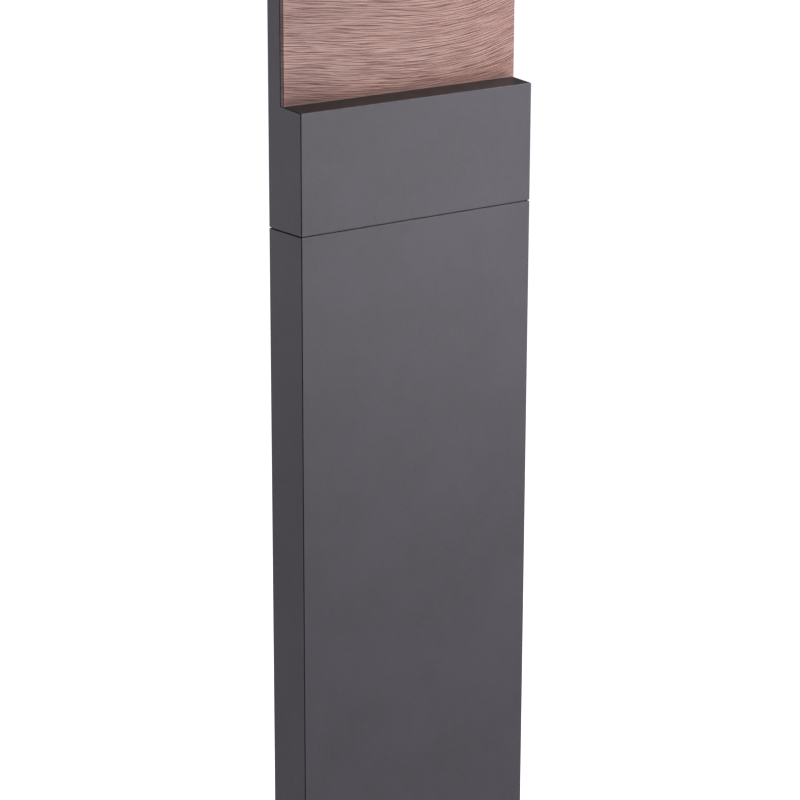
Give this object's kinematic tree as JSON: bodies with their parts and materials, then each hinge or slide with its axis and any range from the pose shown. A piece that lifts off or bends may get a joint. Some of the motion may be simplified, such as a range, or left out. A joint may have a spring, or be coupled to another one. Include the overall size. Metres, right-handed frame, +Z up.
{
  "type": "bollard light",
  "caption": "Slim rectangular garden bollard light: flat post on a foot plate, C-shaped head with a wood-look panel set back above a sloping ledge and a down-facing light strip.",
  "frame": {"origin": "centre of the foot plate's underside, on the ground", "axes": "+Z up, +X along the width, and the lit front with the wood-look panel faces -Y"},
  "size_m": [0.23, 0.11, 0.8],
  "materials": {
    "anthracite_aluminium": "satin",
    "anthracite_steel": "satin",
    "wood_look_board": "matte",
    "foam_tape": "matte",
    "black_rubber": "matte",
    "bare_aluminium": "satin",
    "opal_acrylic": "satin",
    "white_circuit_board": "gloss",
    "led_package": "satin",
    "white_nylon": "satin",
    "driver_plastic": "matte",
    "galvanised_steel": "satin",
    "stainless_steel": "satin",
    "tinned_copper": "satin",
    "grey_box_plastic": "matte",
    "black_nylon": "satin",
    "black_cable_jacket": "matte",
    "brown_core": "satin",
    "blue_core": "satin",
    "green_yellow_core": "satin"
  },
  "bodies": {
    "foot": {"base_plate": "anthracite_steel", "foot_upright_left": "galvanised_steel", "foot_upright_right": "galvanised_steel", "upright_screws": "stainless_steel", "clamp_nuts": "galvanised_steel", "clamp_screw_left": "stainless_steel", "clamp_screw_right": "stainless_steel", "clamp_washer_left": "stainless_steel", "clamp_washer_right": "stainless_steel", "cable_grommet": "black_rubber"},
    "column": {"bezel_screws": "stainless_steel", "box_lid": "grey_box_plastic", "box_screws": "stainless_steel", "box_seal": "black_rubber", "cable_clips": "black_nylon", "carrier_screws": "stainless_steel", "connection_box": "grey_box_plastic", "core_earth": "green_yellow_core", "core_live": "brown_core", "core_neutral": "blue_core", "coupling": "bare_aluminium", "coupling_screws": "stainless_steel", "diffuser": "opal_acrylic", "diffuser_bezel": "anthracite_aluminium", "diffuser_gasket": "black_rubber", "driver_screws": "stainless_steel", "earth_ring": "tinned_copper", "earth_wire": "green_yellow_core", "gear_tray": "galvanised_steel", "head_housing": "anthracite_aluminium", "lead_gland_body": "black_nylon", "lead_gland_nut": "black_nylon", "lead_gland_seal": "black_rubber", "led_board": "white_circuit_board", "led_carrier": "bare_aluminium", "led_chips": "led_package", "led_connector": "white_nylon", "led_driver": "driver_plastic", "led_wires": "black_cable_jacket", "lid_screws": "stainless_steel", "panel_tape": "foam_tape", "post_profile": "anthracite_aluminium", "seam_gasket": "black_rubber", "spigot_screws": "stainless_steel", "supply_gland_body": "black_nylon", "supply_gland_nut": "black_nylon", "supply_gland_seal": "black_rubber", "supply_lead": "black_cable_jacket", "terminal_block": "white_nylon", "terminal_screws": "stainless_steel", "tray_screws": "stainless_steel", "wire_grommet": "black_rubber", "wood_panel": "wood_look_board"}
  },
  "joints": [
    {"name": "column_lift", "type": "slide", "parent": "foot", "child": "column", "axis": [0, 0, 1], "range_m": [0, 0.08]}
  ]
}
